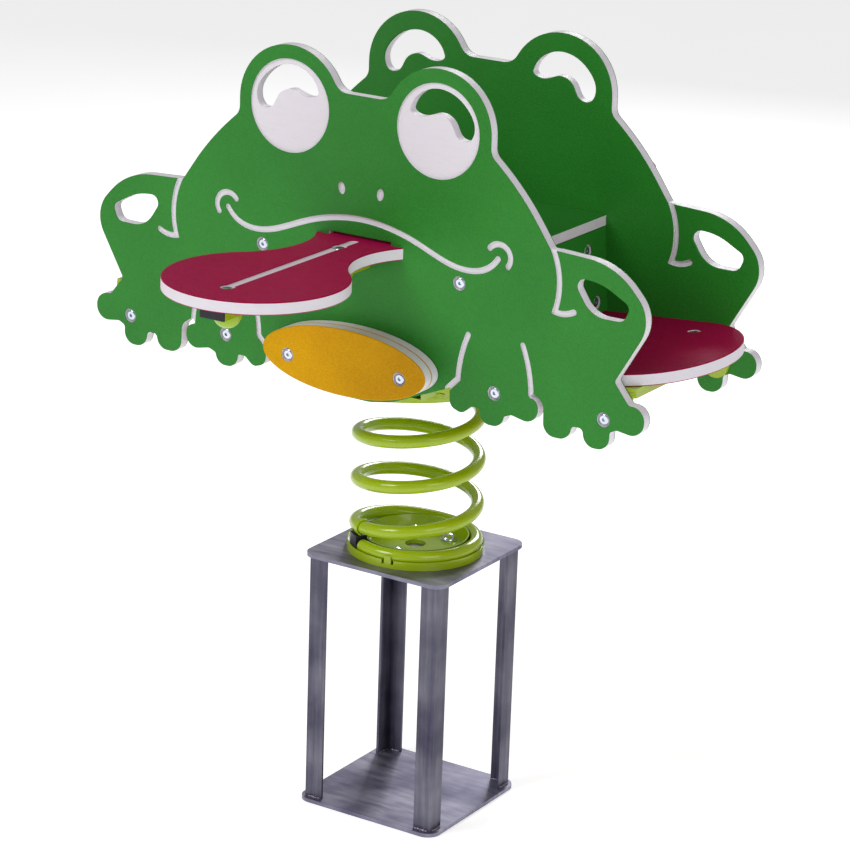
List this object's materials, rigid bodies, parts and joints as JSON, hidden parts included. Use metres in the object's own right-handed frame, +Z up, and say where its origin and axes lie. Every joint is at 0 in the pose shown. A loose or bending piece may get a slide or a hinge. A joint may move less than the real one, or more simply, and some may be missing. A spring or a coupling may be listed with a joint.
{
  "type": "spring seesaw",
  "caption": "Frog-shaped spring seesaw with a seat at each end and a tongue seat front and back, on a coil spring bolted to a steel in-ground anchor cage.",
  "frame": {"origin": "bottom centre of the anchor cage's bottom plate", "axes": "+Z up, X from the left end seat to the right end seat, Y from the front frog panel to the rear one"},
  "size_m": [1.016, 1.126, 1.1965],
  "materials": {
    "green_board": "fine orange-peel grain",
    "yellow_board": "fine orange-peel grain",
    "crimson_board": "fine orange-peel grain",
    "lime_coat": "glossy powder coat",
    "lime_plastic": "moulded gloss",
    "black_plastic": "moulded matte",
    "mill_steel": "raw mill finish, blued",
    "zinc_steel": "bright zinc plate"
  },
  "bodies": {
    "base": {"anchor_bolt_nuts": "zinc_steel", "anchor_bolt_washers": "zinc_steel", "anchor_bolts": "zinc_steel", "anchor_bottom_plate": "mill_steel", "anchor_post_left_front": "mill_steel", "anchor_post_left_rear": "mill_steel", "anchor_post_right_front": "mill_steel", "anchor_post_right_rear": "mill_steel", "anchor_top_plate": "mill_steel", "lower_coil_clips": "lime_coat", "lower_coil_wedge": "black_plastic", "lower_spring_plate": "lime_coat", "spring_coil_foot": "lime_coat"},
    "coil_1": {"spring_coil_turn_1": "lime_coat"},
    "coil_2": {"spring_coil_turn_2": "lime_coat"},
    "coil_3": {"spring_coil_turn_3": "lime_coat"},
    "coil_4": {"spring_coil_turn_4": "lime_coat"},
    "body": {"centre_shelf": "green_board", "corner_brackets": "lime_coat", "cross_board_bolts": "zinc_steel", "frame_columns": "lime_coat", "frame_cross_tubes": "lime_coat", "frame_side_tubes": "lime_coat", "frame_ties": "lime_coat", "front_belly_plate_inner": "yellow_board", "front_belly_plate_outer": "yellow_board", "front_panel": "green_board", "front_panel_bolts": "zinc_steel", "front_panel_nuts": "zinc_steel", "front_panel_rail": "lime_coat", "front_tongue": "crimson_board", "left_cross_board": "green_board", "left_seat": "crimson_board", "left_seat_bracket": "lime_coat", "mount_plate": "lime_coat", "rear_belly_plate_inner": "yellow_board", "rear_belly_plate_outer": "yellow_board", "rear_panel": "green_board", "rear_panel_bolts": "zinc_steel", "rear_panel_nuts": "zinc_steel", "rear_panel_rail": "lime_coat", "rear_tongue": "crimson_board", "right_cross_board": "green_board", "right_seat": "crimson_board", "right_seat_bracket": "lime_coat", "seat_bolts": "zinc_steel", "seat_nuts": "zinc_steel", "shelf_bolts": "zinc_steel", "spring_coil_head": "lime_coat", "spring_head_bolts": "zinc_steel", "spring_head_nuts": "zinc_steel", "tongue_arm": "lime_coat", "tongue_arm_plugs": "black_plastic", "tongue_bolt_caps": "lime_plastic", "tongue_bolts": "zinc_steel", "upper_coil_clips": "lime_coat", "upper_coil_wedge": "black_plastic", "upper_spring_plate": "lime_coat"}
  },
  "joints": [
    {"name": "rock_side_lower", "type": "hinge", "parent": "base", "child": "coil_1", "pos_m": [0, 0, 0.46116], "axis": [0, 1, 0], "range_deg": [-8, 8], "stiffness_Nm_per_rad": 1340},
    {"name": "rock_fore_lower", "type": "hinge", "parent": "coil_1", "child": "coil_2", "pos_m": [0, 0, 0.51479], "axis": [1, 0, 0], "range_deg": [-6, 6], "stiffness_Nm_per_rad": 1340},
    {"name": "bounce", "type": "slide", "parent": "coil_2", "child": "coil_3", "axis": [0, 0, 1], "range_m": [-0.03, 0.01], "stiffness_N_per_m": 69300, "springref_m": 0.004},
    {"name": "rock_fore_upper", "type": "hinge", "parent": "coil_3", "child": "coil_4", "pos_m": [0, 0, 0.58629], "axis": [1, 0, 0], "range_deg": [-6, 6], "stiffness_Nm_per_rad": 1340},
    {"name": "rock_side_upper", "type": "hinge", "parent": "coil_4", "child": "body", "pos_m": [0, 0, 0.63991], "axis": [0, 1, 0], "range_deg": [-8, 8], "stiffness_Nm_per_rad": 1340}
  ],
  "couplings": [
    {"joint": "rock_side_upper", "follows": "rock_side_lower", "ratio": 1},
    {"joint": "rock_fore_upper", "follows": "rock_fore_lower", "ratio": 1}
  ]
}
